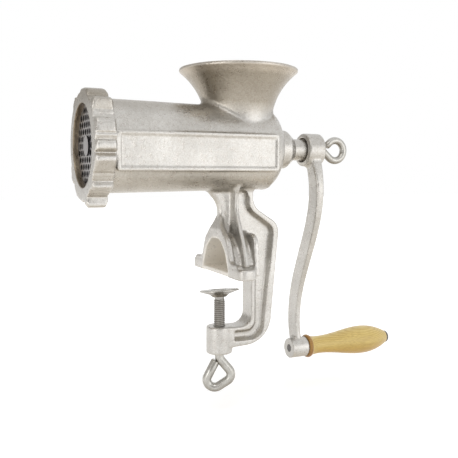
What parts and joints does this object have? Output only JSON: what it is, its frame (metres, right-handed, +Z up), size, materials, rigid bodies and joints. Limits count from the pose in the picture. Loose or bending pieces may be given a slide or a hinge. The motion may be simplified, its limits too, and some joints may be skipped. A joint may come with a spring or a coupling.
{
  "type": "hand crank meat grinder",
  "caption": "Table-clamped hand crank meat grinder: flared hopper over a barrel, feed screw, knife and plate behind a lobed ring nut, S-shaped crank with a wooden handle.",
  "frame": {"origin": "middle of the table seat, the flat underside of the upper clamp jaw", "axes": "+X along the barrel towards the crank, +Z up"},
  "size_m": [0.2777, 0.09, 0.2468],
  "materials": {
    "tinned_casting": "satin",
    "plate_steel": "satin",
    "zinc_steel": "gloss",
    "dark_steel": "satin",
    "handle_wood": "gloss"
  },
  "bodies": {
    "frame": {"body_casting": "tinned_casting", "plate_key": "plate_steel"},
    "drive": {"auger": "tinned_casting", "auger_stud": "plate_steel", "thrust_washer": "plate_steel", "knife": "plate_steel"},
    "crank": {"crank_arm": "tinned_casting", "handle_pin": "dark_steel", "handle_washer": "dark_steel"},
    "eye_screw": {"crank_eye_screw": "zinc_steel"},
    "grip": {"handle_grip": "handle_wood"},
    "plate": {"grinding_plate": "plate_steel"},
    "ring": {"ring_nut": "tinned_casting"},
    "disc": {"clamp_disc": "zinc_steel"},
    "screw": {"clamp_screw": "zinc_steel"}
  },
  "joints": [
    {"name": "crank_spin", "type": "hinge", "parent": "frame", "child": "drive", "pos_m": [0.04, 0, 0.094], "axis": [1, 0, 0], "continuous": true},
    {"name": "crank_slide", "type": "slide", "parent": "drive", "child": "crank", "axis": [1, 0, 0], "range_m": [0, 0.01]},
    {"name": "eye_turn", "type": "hinge", "parent": "crank", "child": "eye_screw", "pos_m": [0.0787, 0, 0.094], "axis": [1, 0, 0], "range_deg": [0, 3650]},
    {"name": "handle_spin", "type": "hinge", "parent": "crank", "child": "grip", "pos_m": [0.1, 0.01914, -0.0714], "axis": [1, 0, 0], "continuous": true},
    {"name": "plate_slide", "type": "slide", "parent": "frame", "child": "plate", "axis": [-1, 0, 0], "range_m": [0, 0.0091]},
    {"name": "ring_turn", "type": "hinge", "parent": "plate", "child": "ring", "pos_m": [-0.105, 0, 0.094], "axis": [-1, 0, 0], "range_deg": [0, 1080]},
    {"name": "disc_slide", "type": "slide", "parent": "frame", "child": "disc", "axis": [0, 0, 1], "range_m": [-0.0195, 0.0015]},
    {"name": "clamp_turn", "type": "hinge", "parent": "disc", "child": "screw", "pos_m": [-0.0085, 0, -0.03], "axis": [0, 0, 1], "range_deg": [-4730, 410]}
  ],
  "couplings": [
    {"joint": "eye_turn", "follows": "crank_slide", "rad_per_m": 6283.2},
    {"joint": "plate_slide", "follows": "ring_turn", "m_per_rad": 0.00047746},
    {"joint": "clamp_turn", "follows": "disc_slide", "rad_per_m": 4188.8}
  ]
}
